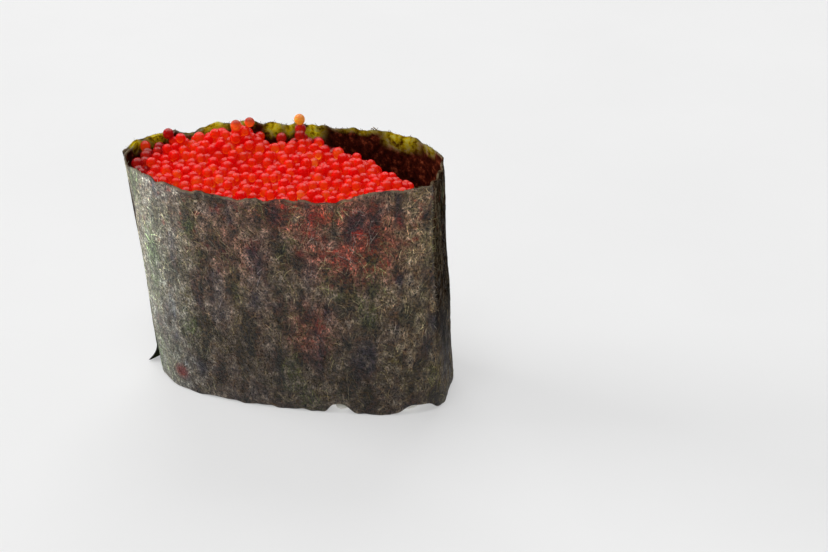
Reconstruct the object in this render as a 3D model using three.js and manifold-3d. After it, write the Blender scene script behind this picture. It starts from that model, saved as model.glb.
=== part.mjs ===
// Gunkan sushi: a seaweed band wound round a block of pressed rice and
// filled to the rim with a heap of small red fish eggs.
//
// Millimetres, +Z up. X runs along the long side of the oval. The origin is
// on the surface that the piece stands on, under the middle of the piece.
//
// Three solids: nori_wrap (the band), rice_block (the pressed rice, which
// shows under the torn hem) and roe_heap (the eggs).

import * as THREE from 'three';
import { mergeVertices } from 'three/addons/utils/BufferGeometryUtils.js';
import Module from 'manifold-3d';

const wasm = await Module();
wasm.setup();

const { degToRad, lerp, smoothstep } = THREE.MathUtils;

// ---- Driving dimensions ---------------------------------------------------

const BAND_HEIGHT = 38;          // a fifth of a 190 mm sheet of seaweed
const SHEET = 0.3;               // thickness of the damp seaweed
const GAP = 0.35;                // clearance kept between separate surfaces

// The oval of the band at its foot and at its rim. Each quarter of an oval is
// a superellipse. An oval has its half lengths to the left, right, front and
// back of x, and the exponents of its corners: 2 is an ellipse, more is squarer.
const FOOT = {
  x: 2, left: 24, right: 23.9, front: 11.7, back: 11.8,
  corners: { frontLeft: 2.3, frontRight: 3.6, backRight: 3, backLeft: 2.3 },
};
const RIM = {
  x: -1, left: 25.1, right: 25, front: 14.2, back: 14.3,
  corners: { frontLeft: 2.1, frontRight: 2.6, backRight: 2.8, backLeft: 2.1 },
};

// The upright crease at the right end of the band's front.
const CREASE = { angle: degToRad(-17.5), width: degToRad(9), atFoot: 0.3, atRim: 1.9 };

// The rim steps up at the front right, dips at the front left, and is uneven.
const RIM_STEP = { fromX: 10, toX: 15, frontY: -6, backY: 4, rise: 1.3 };
const RIM_DIP = { x: -6, width: 2, depth: 0.6 };
const RIM_WAVES = [
  { count: 9, size: 0.14, start: 0.4 },
  { count: 23, size: 0.13, start: 2.1 },
  { count: 41, size: 0.1, start: 4.4 },
];

// The hem has two torn notches at the front, under which the rice shows.
const HEM_HEIGHT = 0.25;
const HEM_NOTCHES = [
  { angle: degToRad(-55), width: degToRad(6), height: 1.1 },
  { angle: degToRad(-24), width: degToRad(5), height: 1.3 },
];
const HEM_WAVES = [
  { count: 13, size: 0.12, start: 1.3 },
  { count: 29, size: 0.08, start: 3.9 },
];

// The band is wound once and a bit more: its inner end lies under its outer
// end, which is at the left and whose lower corner peels off. One turn moves
// the sheet out by WRAP_PITCH, and its outer face is on the oval at WRAP_FLUSH.
const WRAP_END = degToRad(181);
const WRAP_OVERLAP = degToRad(48);
const WRAP_START = WRAP_END - 2 * Math.PI - WRAP_OVERLAP;
const WRAP_PITCH = SHEET + GAP;
const WRAP_FLUSH = degToRad(-90);
const PEEL = { angle: degToRad(16), height: 5, out: 2.2 };
const RIPPLE = { size: 0.1, count: 17, slant: 0.16 };
const WRAP_COLUMNS = 104;
const WRAP_ROWS = 4;

const FILLING_SIDES = 28;
const FILLING_LEAD = degToRad(14);

const RICE_TOP = 19;
const RICE_CORE_FLOOR = 0.6;
const RICE_INSET = 0.4;
const RICE_BEVEL = 1.2;
const GRAIN = { length: 6.2, width: 2.9, spacing: 5.6, rowSpacing: 3.5, jitter: 0.4, height: 1.15 };
const GRAIN_SEED = 11;

const EGG = { diameter: 1.7, spacing: 2.27, jitter: 0.26, coreDepth: 0.95, nudge: 1 };
const EGG_SEED = 7;

// The top of the heap: a level, with mounds and dips added to it, and a hollow
// at the back right, where the eggs slope down from its edge.
const HEAP_LEVEL = 37.5;
const HEAP_MOUNDS = [
  { x: -9, y: 8.5, left: 6, right: 3.2, depth: 4.6, height: 2.1 },
  { x: 0, y: 6, left: 4, right: 6, depth: 3.6, height: 0.7 },
  { x: -3.2, y: 12, left: 1.9, right: 2.6, depth: 3.4, height: -1.9 },
  { x: -25, y: 4, left: 5, right: 5, depth: 9, height: -1.4 },
  { x: -15, y: 13, left: 6, right: 6, depth: 3, height: -0.9 },
  { x: 25, y: -3, left: 4, right: 4, depth: 6, height: -2.4 },
];
const HOLLOW = { x: 4, y: 9, angle: degToRad(52), run: 10.5, fall: 9 };
const HEAP_RINGS = 5;

// ---- Numbers --------------------------------------------------------------

/** Seeded random numbers from 0 to 1. */
function randomSource(seed) {
  let state = seed;
  return () => {
    state = (state + 0x6d2b79f5) | 0;
    let mixed = Math.imul(state ^ (state >>> 15), 1 | state);
    mixed = (mixed + Math.imul(mixed ^ (mixed >>> 7), 61 | mixed)) ^ mixed;
    return ((mixed ^ (mixed >>> 14)) >>> 0) / 2 ** 32;
  };
}

/** A smooth bump of height 1 at distance 0. */
function bump(distance, width) {
  return Math.exp(-((distance / width) ** 2));
}

/** A sum of sine waves round the oval, for an uneven cut edge. */
function waves(list, angle) {
  const heights = list.map((wave) => wave.size * Math.sin(wave.count * angle + wave.start));
  return heights.reduce((sum, height) => sum + height, 0);
}

/** How far `angle` is from `other`, from -180 to 180 degrees. */
function turnFrom(other, angle) {
  return Math.atan2(Math.sin(angle - other), Math.cos(angle - other));
}

// ---- The band's wall ------------------------------------------------------

/** The distance from the middle of `oval` to its outline, towards `angle`. */
function ovalReach(oval, angle) {
  const { frontLeft, frontRight, backRight, backLeft } = oval.corners;
  const atFront = Math.sin(angle) < 0;
  const atLeft = Math.cos(angle) < 0;
  const length = atLeft ? oval.left : oval.right;
  const width = atFront ? oval.front : oval.back;
  const frontCorner = atLeft ? frontLeft : frontRight;
  const backCorner = atLeft ? backLeft : backRight;
  const exponent = atFront ? frontCorner : backCorner;
  const along = Math.abs(Math.cos(angle) / length) ** exponent;
  const across = Math.abs(Math.sin(angle) / width) ** exponent;
  return (along + across) ** (-1 / exponent);
}

/** The middle of the wall's outline at a height. */
function wallMiddle(height) {
  return lerp(FOOT.x, RIM.x, height / BAND_HEIGHT);
}

/** The point of the plain wall towards `angle`, at a height. */
function wallPoint(angle, height) {
  const rise = height / BAND_HEIGHT;
  const crease = lerp(CREASE.atFoot, CREASE.atRim, rise)
    * Math.exp(-Math.abs(turnFrom(CREASE.angle, angle)) / CREASE.width);
  const reach = lerp(ovalReach(FOOT, angle), ovalReach(RIM, angle), rise) + crease;
  const x = wallMiddle(height) + reach * Math.cos(angle);
  return new THREE.Vector3(x, reach * Math.sin(angle), height);
}

/** The level direction that points straight out of the wall. */
function wallNormal(angle, height) {
  const step = degToRad(0.5);
  const along = wallPoint(angle + step, height).sub(wallPoint(angle - step, height));
  return new THREE.Vector3(along.y, -along.x, 0).normalize();
}

/** A point `out` millimetres outside the plain wall (inside where negative). */
function offsetPoint(angle, height, out) {
  return wallPoint(angle, height).addScaledVector(wallNormal(angle, height), out);
}

/** Angles from `from` to `to` that are even steps along the wall. */
function evenAngles(from, to, count) {
  const fine = count * 8;
  const angles = Array.from({ length: fine + 1 }, (_, i) => lerp(from, to, i / fine));
  const points = angles.map((angle) => wallPoint(angle, BAND_HEIGHT / 2));
  const lengths = [0];
  for (let i = 1; i <= fine; i++) {
    lengths.push(lengths[i - 1] + points[i].distanceTo(points[i - 1]));
  }
  const steps = Array.from({ length: count + 1 }, (_, i) => (lengths[fine] * i) / count);
  return steps.map((length) => angles[Math.max(0, lengths.findIndex((l) => l >= length - 1e-9))]);
}

// ---- nori_wrap: the seaweed band ------------------------------------------

/** The height of the band's upper edge. */
function rimHeight(angle) {
  const { x, y } = wallPoint(angle, BAND_HEIGHT);
  const { fromX, toX, frontY, backY, rise } = RIM_STEP;
  const step = rise * smoothstep(x, fromX, toX) * (1 - smoothstep(y, frontY, backY));
  const dip = y < 0 ? RIM_DIP.depth * bump(x - RIM_DIP.x, RIM_DIP.width) : 0;
  return BAND_HEIGHT + step - dip + waves(RIM_WAVES, angle);
}

/** The height of the band's lower edge. */
function hemHeight(angle) {
  const notches = HEM_NOTCHES.map(
    (notch) => notch.height * bump(turnFrom(notch.angle, angle), notch.width));
  return HEM_HEIGHT + Math.max(...notches) + waves(HEM_WAVES, angle);
}

/** How far the free lower corner at the band's outer end stands off. */
function peel(angle, height) {
  const alongBand = Math.max(0, 1 - (WRAP_END - angle) / PEEL.angle);
  const upBand = Math.max(0, 1 - height / PEEL.height);
  return PEEL.out * alongBand ** 2 * upBand ** 2;
}

/** How far outside the plain wall the winding carries the sheet's outer face. */
function windingOut(angle) {
  return (WRAP_PITCH * (angle - WRAP_FLUSH)) / (2 * Math.PI);
}

/** A point of the wound band, on its inner face (0) or its outer face (1). */
function bandPoint(angle, rise, face) {
  const height = lerp(hemHeight(angle), rimHeight(angle), rise);
  const ripple = RIPPLE.size * Math.sin(RIPPLE.count * angle + RIPPLE.slant * height);
  const out = windingOut(angle) + ripple + peel(angle, height) - (1 - face) * SHEET;
  return offsetPoint(angle, height, out);
}

/** A closed thin sheet: both faces on the same grid, joined round the edge. */
function sheetGeometry(columns, rows, pointAt) {
  const positions = [];
  const triangles = [];
  const index = (column, row, face) => (face * (columns + 1) + column) * (rows + 1) + row;
  for (const face of [0, 1]) {
    for (let column = 0; column <= columns; column++) {
      for (let row = 0; row <= rows; row++) {
        positions.push(...pointAt(column, row, face).toArray());
      }
    }
  }
  const quad = (a, b, c, d) => triangles.push(a, b, c, a, c, d);
  for (let i = 0; i < columns; i++) {
    for (let j = 0; j < rows; j++) {
      quad(index(i, j, 1), index(i + 1, j, 1), index(i + 1, j + 1, 1), index(i, j + 1, 1));
      quad(index(i, j, 0), index(i, j + 1, 0), index(i + 1, j + 1, 0), index(i + 1, j, 0));
    }
    quad(index(i, 0, 0), index(i + 1, 0, 0), index(i + 1, 0, 1), index(i, 0, 1));
    quad(index(i, rows, 1), index(i + 1, rows, 1), index(i + 1, rows, 0), index(i, rows, 0));
  }
  for (let j = 0; j < rows; j++) {
    quad(index(0, j, 0), index(0, j, 1), index(0, j + 1, 1), index(0, j + 1, 0));
    quad(index(columns, j, 1), index(columns, j, 0),
      index(columns, j + 1, 0), index(columns, j + 1, 1));
  }
  return solidGeometry(positions, triangles);
}

/** The band. Its rows lie closer together near the hem, where a corner peels. */
function noriWrap() {
  const angles = evenAngles(WRAP_START, WRAP_END, WRAP_COLUMNS);
  return sheetGeometry(WRAP_COLUMNS, WRAP_ROWS,
    (column, row, face) => bandPoint(angles[column], (row / WRAP_ROWS) ** 2, face));
}

// ---- Closed solids, and joining them --------------------------------------

/** An indexed geometry from flat lists of coordinates and corners. */
function solidGeometry(positions, triangles) {
  const geometry = new THREE.BufferGeometry();
  geometry.setAttribute('position', new THREE.Float32BufferAttribute(positions, 3));
  geometry.setIndex(triangles);
  return geometry;
}

/** A closed solid through rings of points, from its bottom ring to its top. */
function ringedGeometry(rings, bottomPoint, topPoint) {
  const sides = rings[0].length;
  const positions = [...rings.flat(), bottomPoint, topPoint].flatMap((p) => p.toArray());
  const bottom = rings.length * sides;
  const top = bottom + 1;
  const index = (ring, side) => ring * sides + (side % sides);
  const triangles = [];
  for (let side = 0; side < sides; side++) {
    triangles.push(bottom, index(0, side + 1), index(0, side));
    triangles.push(top, index(rings.length - 1, side), index(rings.length - 1, side + 1));
    for (let ring = 0; ring < rings.length - 1; ring++) {
      const [a, b] = [index(ring, side), index(ring, side + 1)];
      const [c, d] = [index(ring + 1, side + 1), index(ring + 1, side)];
      triangles.push(a, b, c, a, c, d);
    }
  }
  return solidGeometry(positions, triangles);
}

/** A closed geometry as a solid that can be joined and cut. */
function toManifold(geometry) {
  const plain = geometry.clone();
  plain.deleteAttribute('normal');
  plain.deleteAttribute('uv');
  const merged = mergeVertices(plain);
  return new wasm.Manifold(new wasm.Mesh({
    numProp: 3,
    vertProperties: new Float32Array(merged.attributes.position.array),
    triVerts: new Uint32Array(merged.index.array),
  }));
}

/** A joined solid back as a geometry. */
function fromManifold(manifold) {
  const { vertProperties, triVerts } = manifold.getMesh();
  return solidGeometry(Array.from(vertProperties), Array.from(triVerts));
}

/** The core with a copy of `piece` joined to it at each placement. */
function joinPieces(core, piece, placements) {
  let joined = toManifold(core);
  for (const placement of placements) {
    joined = joined.add(toManifold(piece.clone().applyMatrix4(placement)));
  }
  return joined;
}

// ---- The filling's outline, and scattered pieces --------------------------

/**
 * How far outside the plain wall (below 0: inside) the filling may reach. It
 * steps in FILLING_LEAD before the sheet's inner end.
 */
function fillingOut(angle) {
  const turn = 2 * Math.PI;
  const pastLead = (angle - WRAP_START + FILLING_LEAD) % turn;
  const pastStart = Math.max(0, (pastLead + turn) % turn - FILLING_LEAD);
  return windingOut(WRAP_START + pastStart) - SHEET - RIPPLE.size - GAP;
}

function fillingAngles() {
  return evenAngles(0, 2 * Math.PI, FILLING_SIDES).slice(0, FILLING_SIDES);
}

/** A point `inset` inside the filling's outline. */
function fillingPoint(angle, height, inset) {
  return offsetPoint(angle, height, fillingOut(angle) - inset);
}

function fillingRing(height, inset) {
  return fillingAngles().map((angle) => fillingPoint(angle, height, inset));
}

/** How far a point is inside the filling's outline, and which way is out. */
function roomAt(point) {
  const angle = Math.atan2(point.y, point.x - wallMiddle(point.z));
  const outward = wallNormal(angle, point.z);
  const toWall = wallPoint(angle, point.z).sub(point).dot(outward);
  return { room: toWall + fillingOut(angle), outward };
}

/** Rows of points over the oval, every other row shifted by half a step. */
function scatter(spacing, rowSpacing, jitter, random) {
  const places = [];
  const rows = Math.ceil(RIM.back / rowSpacing);
  const steps = Math.ceil(RIM.left / spacing) + 1;
  for (let row = -rows; row <= rows; row++) {
    const shift = row % 2 === 0 ? 0 : 0.5;
    for (let step = -steps; step <= steps; step++) {
      const x = (step + shift) * spacing + jitter * (2 * random() - 1);
      const y = row * rowSpacing + jitter * (2 * random() - 1);
      places.push({ x, y });
    }
  }
  return places;
}

// ---- rice_block: the pressed rice -----------------------------------------

/** A cooked grain lying along X, blunt at both ends, with few sides. */
function grainGeometry() {
  const [reach, radius] = [GRAIN.length / 2, GRAIN.width / 2];
  const profile = [[0, -1], [0.75, -0.8], [1, 0], [0.75, 0.8], [0, 1]].map(
    ([out, along]) => new THREE.Vector2(out * radius, along * reach));
  return new THREE.LatheGeometry(profile, 6).rotateZ(Math.PI / 2);
}

/** Grains in rows under the block, each turned its own way, clear of the band. */
function grainPlacements() {
  const random = randomSource(GRAIN_SEED);
  const reach = GRAIN.length / 2;
  const placements = [];
  for (const { x, y } of scatter(GRAIN.spacing, GRAIN.rowSpacing, GRAIN.jitter, random)) {
    const turn = Math.PI * random();
    const centre = new THREE.Vector3(x, y, GRAIN.height);
    const tips = [-reach, reach].map((along) => new THREE.Vector3(
      x + along * Math.cos(turn), y + along * Math.sin(turn), GRAIN.height));
    const room = Math.min(...tips.map((tip) => roomAt(tip).room));
    if (room > 0 && roomAt(centre).room > GRAIN.width / 2) {
      placements.push(new THREE.Matrix4().makeRotationZ(turn).setPosition(centre));
    }
  }
  return placements;
}

/** The pressed rice: a block with grains under it, flat where it rests. */
function riceBlock() {
  const rings = [
    fillingRing(RICE_CORE_FLOOR, RICE_INSET + RICE_BEVEL),
    fillingRing(RICE_CORE_FLOOR + RICE_BEVEL, RICE_INSET),
    fillingRing(RICE_TOP, RICE_INSET),
  ];
  const bottom = new THREE.Vector3(FOOT.x, 0, RICE_CORE_FLOOR);
  const top = new THREE.Vector3(wallMiddle(RICE_TOP), 0, RICE_TOP);
  const core = ringedGeometry(rings, bottom, top);
  const joined = joinPieces(core, grainGeometry(), grainPlacements());
  const below = new THREE.BoxGeometry(80, 60, 10).translate(0, 0, -5);
  return fromManifold(joined.subtract(toManifold(below)));
}

// ---- roe_heap: the eggs ---------------------------------------------------

/** The height of the heap's top over a point of the floor. */
function heapHeight(x, y) {
  const mounds = HEAP_MOUNDS.map((mound) => mound.height
    * bump(x - mound.x, x < mound.x ? mound.left : mound.right)
    * bump(y - mound.y, mound.depth));
  const intoHollow = (x - HOLLOW.x) * Math.cos(HOLLOW.angle)
    + (y - HOLLOW.y) * Math.sin(HOLLOW.angle);
  const fall = HOLLOW.fall * smoothstep(intoHollow, 0, HOLLOW.run);
  return HEAP_LEVEL + mounds.reduce((sum, height) => sum + height, 0) - fall;
}

/** The heap without its eggs: its top lies under theirs. */
function heapCore() {
  const coreTop = ({ x, y }) => new THREE.Vector3(x, y, heapHeight(x, y) - EGG.coreDepth);
  const floor = RICE_TOP + GAP;
  const middle = new THREE.Vector3(wallMiddle(HEAP_LEVEL), 0, 0);
  const edge = fillingAngles().map((angle) => {
    const { z } = coreTop(fillingPoint(angle, HEAP_LEVEL, 0));
    return fillingPoint(angle, z, 0);
  });
  const topRings = Array.from({ length: HEAP_RINGS },
    (_, ring) => edge.map((point) => coreTop(point.clone().lerp(middle, ring / HEAP_RINGS))));
  const bottom = new THREE.Vector3(wallMiddle(floor), 0, floor);
  return ringedGeometry([fillingRing(floor, 0), ...topRings], bottom, coreTop(middle));
}

/** Eggs spread evenly over the heap, sunk into it. One too near the band moves in. */
function eggPlacements() {
  const random = randomSource(EGG_SEED);
  const radius = EGG.diameter / 2;
  const rowSpacing = EGG.spacing * Math.sin(Math.PI / 3);
  const placements = [];
  for (const { x, y } of scatter(EGG.spacing, rowSpacing, EGG.jitter, random)) {
    const centre = new THREE.Vector3(x, y, heapHeight(x, y) - radius);
    const { room, outward } = roomAt(centre);
    const moveIn = Math.max(0, radius - room);
    const turn = 2 * Math.PI * random();
    if (moveIn < EGG.nudge) {
      centre.addScaledVector(outward, -moveIn);
      centre.z = heapHeight(centre.x, centre.y) - radius;
      placements.push(new THREE.Matrix4().makeRotationZ(turn).setPosition(centre));
    }
  }
  return placements;
}

/** An egg with few sides, a corner of it straight up. */
function eggGeometry() {
  const goldenRatio = (1 + Math.sqrt(5)) / 2;
  const egg = new THREE.IcosahedronGeometry(EGG.diameter / 2, 0);
  return egg.rotateX(Math.atan(1 / goldenRatio));
}

function roeHeap() {
  return fromManifold(joinPieces(heapCore(), eggGeometry(), eggPlacements()));
}

// ---- The piece ------------------------------------------------------------

const noriMaterial = new THREE.MeshStandardMaterial({ color: 0x2f3126, roughness: 0.75 });
const riceMaterial = new THREE.MeshStandardMaterial({ color: 0xeceade, roughness: 0.5 });
const roeMaterial = new THREE.MeshStandardMaterial({ color: 0xdd2414, roughness: 0.2 });

/** A named mesh of one closed solid. */
function mesh(name, geometry, material) {
  const made = new THREE.Mesh(geometry, material);
  made.name = name;
  return made;
}

const group = new THREE.Group();
group.add(mesh('nori_wrap', noriWrap(), noriMaterial));
group.add(mesh('rice_block', riceBlock(), riceMaterial));
group.add(mesh('roe_heap', roeHeap(), roeMaterial));

export default group;
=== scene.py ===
"""Looks of the gunkan sushi: a felted seaweed band, pressed rice under it and a heap of fish eggs.

Sizes are in millimetres, as in the CAD model, and become metres where a mesh is made.
"""

import math

import bmesh
import bpy
import numpy as np
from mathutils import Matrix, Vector, noise


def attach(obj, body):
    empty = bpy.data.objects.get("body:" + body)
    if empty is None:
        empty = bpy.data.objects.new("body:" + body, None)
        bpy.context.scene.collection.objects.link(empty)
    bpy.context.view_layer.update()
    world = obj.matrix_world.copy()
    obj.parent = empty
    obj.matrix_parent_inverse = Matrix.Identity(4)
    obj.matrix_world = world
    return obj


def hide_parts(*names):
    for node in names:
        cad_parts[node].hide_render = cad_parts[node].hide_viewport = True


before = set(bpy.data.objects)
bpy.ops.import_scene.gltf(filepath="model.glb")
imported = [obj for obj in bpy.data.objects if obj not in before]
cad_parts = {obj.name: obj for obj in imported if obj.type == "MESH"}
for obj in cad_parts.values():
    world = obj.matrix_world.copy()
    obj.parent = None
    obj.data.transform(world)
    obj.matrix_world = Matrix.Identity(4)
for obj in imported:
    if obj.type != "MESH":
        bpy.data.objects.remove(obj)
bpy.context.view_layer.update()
scene = bpy.context.scene

MM = 0.001
TURN = 2 * math.pi
UP = np.array([0.0, 0.0, 1.0])

# ---- The band: as in the CAD model, but for the size of its notches and peel ----

BAND_HEIGHT = 38
SHEET = 0.3
GAP = 0.35

FOOT = {
    "x": 2, "left": 24, "right": 23.9, "front": 11.7, "back": 11.8,
    "corners": {"front_left": 2.3, "front_right": 3.6, "back_right": 3, "back_left": 2.3},
}
RIM = {
    "x": -1, "left": 25.1, "right": 25, "front": 14.2, "back": 14.3,
    "corners": {"front_left": 2.1, "front_right": 2.6, "back_right": 2.8, "back_left": 2.1},
}
CREASE = {"angle": math.radians(-17.5), "width": math.radians(9), "at_foot": 0.3, "at_rim": 1.9}
RIM_STEP = {"from_x": 10, "to_x": 15, "front_y": -6, "back_y": 4, "rise": 1.3}
RIM_DIP = {"x": -6, "width": 2, "depth": 0.6}
HEM_HEIGHT = 0.25
# The hem's torn notches: (degrees round, width, height).
HEM_NOTCHES = [(-55.5, 6.5, 1.35), (-24, 5.5, 1.4)]

# Uneven edges: (waves round the oval, size, start).
RIM_WAVES = [(9, 0.14, 0.4), (23, 0.13, 2.1), (41, 0.1, 4.4)]
HEM_WAVES = [(13, 0.12, 1.3), (29, 0.08, 3.9)]

WRAP_END = math.radians(181)
WRAP_OVERLAP = math.radians(48)
WRAP_START = WRAP_END - TURN - WRAP_OVERLAP
WRAP_PITCH = SHEET + GAP
# The angle at which the sheet's outer face lies on the plain wall.
WRAP_FLUSH = math.radians(-90)
PEEL = {"angle": math.radians(13), "height": 3.6, "out": 2.2}

# ---- The filling: as in the CAD model, but for the heap's mounds ----

FILLING_LEAD = math.radians(14)
RIPPLE = 0.1
RICE_TOP = 19

HEAP_LEVEL = 37.5
# Mounds and dips of the heap: (x, y, reach to the left, to the right and in depth, height).
HEAP_MOUNDS = [
    (-9.3, 8.5, 6.5, 4.4, 4.4, 2.2),
    (0, 6, 4, 6, 3.6, 0.7),
    (-4.4, 12.5, 1.1, 1.7, 3.8, -3.4),
    (-25, 4, 5, 5, 9, -0.2),
    (-15, 13, 6, 6, 3, -0.9),
    (25, -3, 4, 4, 6, -2.4),
]
HOLLOW = {"x": 4, "y": 9, "angle": math.radians(52), "run": 10.5, "fall": 9}

# ---- Detail that only the scene has ----

BAND_COLUMNS = 420
BAND_ROWS = 98
# The felt's pattern on the inner face lies this far from the outer face's.
INNER_PATTERN = 9.0

# Uneven surfaces and edges: (how far they stand out, size of the lumps, seed).
SAGS = (0.28, 11, 4)
PUCKERS = (0.13, 3.4, 5)
PUCKER_SQUEEZE = 0.3
CRUMPLES = (0.5, 2.6, 6)
PORES = (0.05, 0.9, 7)
RIM_TEETH = [(0.22, 1.1, 1), (0.16, 0.5, 2)]
HEM_TEETH = (0.12, 1.3, 3)
# The rim is crumpled down to about this depth.
CRUMPLED_DEPTH = 1.8

# The rim is torn lower or left higher in places: (degrees round, width, how much higher).
RIM_TEARS = [(168, 7, -0.6), (150, 6, -1.0), (35, 7, 0.35)]
# Thin places at the back rim, which let light through: (degrees round, width, depth, strength).
THIN_PLACES = [
    (23, 4, 1.6, 0.45), (37, 7, 2.4, 1.0), (55, 13, 0.8, 0.5), (83, 7, 2.5, 1.0),
    (98, 4, 1.9, 0.8), (108, 5, 2.5, 1.0), (124, 5, 1.2, 0.6), (139, 6, 1.3, 1.0),
    (150, 3, 2.2, 0.45), (163, 4, 2.1, 1.0), (173, 3, 1.4, 0.9),
]

# Damp places on the front where the eggs' red shows through: (middle, reach, strength), in metres.
STAINS = [
    ((0.007, -0.0135, 0.036), (0.014, 0.02, 0.006), 1.0),
    ((0.0125, -0.0125, 0.031), (0.0115, 0.02, 0.0105), 1.0),
    ((0.006, -0.012, 0.015), (0.006, 0.02, 0.008), 0.65),
    ((-0.006, -0.013, 0.029), (0.009, 0.02, 0.009), 0.3),
]
# A deep red spot low on the left.
RED_SPOT = ((-0.0165, -0.008, 0.0034), (0.0019, 0.01, 0.0019), 0.9)
RED_SPOT_COLOUR = (0.17, 0.012, 0.012)
# Regions are lists of limits: (axis, where it starts, where it is in full), in metres.
# The eggs redden the inner face high up. The front near the left end gets a painted sheen, a pale
# haze that hides the film. The end wall past the crease gets painted shade, less so low down.
ROE_SHOWS = [("Z", 0.012, 0.020)]
SHEEN_SIDE = [("X", -0.012, -0.0215), ("Y", -0.001, -0.005)]
SHADED_END = [("X", 0.0230, 0.0240), ("Y", -0.0078, -0.0066), ("Z", 0.002, 0.018)]
# Painted light and shade on the outer face: paler towards the left and right ends and high up,
# darker low down and on the end wall. It is also darker towards the back: (region, tint).
TINTS = [
    ([("X", -0.007, -0.018)], (1.25, 1.5, 1.65)),
    ([("X", 0.015, 0.0215)], (1.36, 1.4, 1.26)),
    ([("Y", -0.006, 0.0)], (0.62, 0.60, 0.58)),
    ([("Z", 0.024, 0.037)], (1.15, 1.1, 1.08)),
    ([("Z", 0.026, 0.004)], (0.54, 0.55, 0.55)),
    (SHEEN_SIDE, (1.5, 1.65, 1.75)),
    (SHADED_END, (0.27, 0.26, 0.26)),
]
# A painted sheen near the left end: the felt is mixed this much towards this pale grey.
PAINTED_SHEEN = (0.60, 0.60, 0.53)
PAINTED_SHEEN_SHARE = 0.22

# The felt's patches are twice as tall as wide.
UPRIGHT = (1, 1, 2)
# Layers of the felt's fine lines: (turn, size, stretch).
FIBRE_LAYERS = [(0.35, 0.5, 3), (-0.45, 0.42, 3.5), (0.02, 0.36, 2.5)]
FIBRE_WIDTH, FIBRE_WARP = 0.06, 0.9

STRAND_POINTS = 5
STRANDS = {"count": 9200, "length": (1.0, 3.4), "width": (0.06, 0.14), "lift": (0.04, 0.09),
           "sunk": 0.02, "near_upright": 0.75, "lean": math.radians(28), "curl": math.radians(25),
           "from_hem": 0.1, "from_rim": 0.05, "from_ends": 0.3}
STRAND_SEED = 5
RIM_HAIRS = {"count": 320, "length": (0.2, 0.6), "width": (0.04, 0.08), "sunk": 0.12,
             "lean_out": 0.5, "lean_along": 0.9, "tones": (0.2, 0.8)}
SLIVERS = {"angles": np.radians([46.5, 48.5]), "length": 1.3, "width": 0.2}
CREASE_HAIRS = {"count": 200, "length": (0.3, 0.8), "width": (0.05, 0.10),
                "off_crease": math.radians(0.8), "heights": (1.5, BAND_HEIGHT - 0.5),
                "spread": (0.5, 0.5, 1.2), "tones": (0.5, 1)}
HAIR_BEND = 0.2
# A hair's ridge stands out by this much of its width.
HAIR_LIFT = 0.4
HAIR_SEED = 8

GRAIN = {"length": 6.0, "width": 2.7, "flatness": 0.85, "bow": 0.05, "flat": 0.04,
         "layers": (1.15, 2.9), "along": 2.3, "across": 2.2, "edge": 4, "jitter": 0.5,
         "tilt": 0.12, "sizes": (0.88, 1.05), "most_outside": 0.2,
         "x_range": (-24, 28), "y_range": (-13, 14)}
GRAIN_SIDES = 12
GRAIN_RINGS = 9
GRAIN_SEED = 11

EGG_RADII = (0.72, 0.97)
# The soft eggs press into each other by this much of their size.
EGG_SQUEEZE = 1.05
EGG_LAYER = 4.4
EGG_TRIES = 3200
EGG_OUT_OF_ROUND = 0.025
# Each egg's crescent is moved by about this share of its radius.
EGG_SHIFT = 0.08
EGG_SEED = 21
# The heap's hidden core reaches this far up into the layer of eggs. Its rings lie at these
# shares of the way from its edge to its middle.
CORE_RISE = 0.5
CORE_EDGE = {"depth": 4, "inset": 0.4}
CORE_SHARES = (0, 0.15, 0.3, 0.45, 0.6, 0.75, 0.9)
CORE_SIDES = 96
# The rice's hidden core narrows at its foot to leave room for the grains: (height, inset).
RICE_CORE = [(0.8, 2.2), (2.6, 0.8), (RICE_TOP, 0.6)]
# Single eggs perched on others: (x, y, radius, kind).
PERCHED = [
    (-8.2, 8.7, 0.78, "roe_tawny"), (-10.2, 7.7, 0.84, "roe_tawny"),
    (-3.9, 11.0, 0.84, "roe_shaded"), (-3.7, 11.4, 0.84, "roe_shaded"),
    (-0.2, 9.7, 0.86, "roe_shaded"), (-0.5, 11.4, 0.86, "roe_shaded"),
    (-0.6, 11.3, 0.84, "roe_pale"), (-19.0, 6.0, 0.84, "roe_red"),
    (-21.2, 6.8, 0.84, "roe_shaded"), (-24.4, 4.2, 0.84, "roe_scarlet"),
]
# The kinds of egg: (how many of all, colour in the middle, painted colour on top, colour of the
# painted crescent of light).
# The last three are painted light and shade, put where the light makes them so: shaded copies in
# the shade, lit ones against the background.
EGG_KINDS = {
    "roe_red": (0.62, (1, 0.004, 0.005), (1, 0.008, 0.009), (1, 0.20, 0.01)),
    "roe_scarlet": (0.34, (1, 0.011, 0.005), (1, 0.017, 0.010), (1, 0.36, 0.02)),
    "roe_amber": (0.04, (1, 0.045, 0.010), (1, 0.05, 0.02), (1, 0.50, 0.04)),
    "roe_shaded": (0, (0.34, 0.003, 0.006), (0.46, 0.012, 0.016), (0.9, 0.06, 0.01)),
    "roe_tawny": (0, (1, 0.15, 0.02), (0.42, 0.08, 0.05), (1, 0.30, 0.03)),
    "roe_pale": (0, (1, 0.60, 0.04), (1, 0.50, 0.12), (1, 0.72, 0.12)),
}
# Where the band keeps the light off the eggs: along its back, in the dip there and at the left.
SHADE = {"reach": 4.0, "from_x": -4.5, "dip": (-3.7, 11.0), "dip_radius": 2.0, "left_x": -21.8}
# A crescent of light low on an egg's front lies between two rounds on the egg.
CRESCENT = {"low": (0.173, -0.980, 0.096), "high": (0.160, -0.916, 0.366),
            "edge": (math.cos(math.radians(44)), math.cos(math.radians(34)))}
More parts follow.
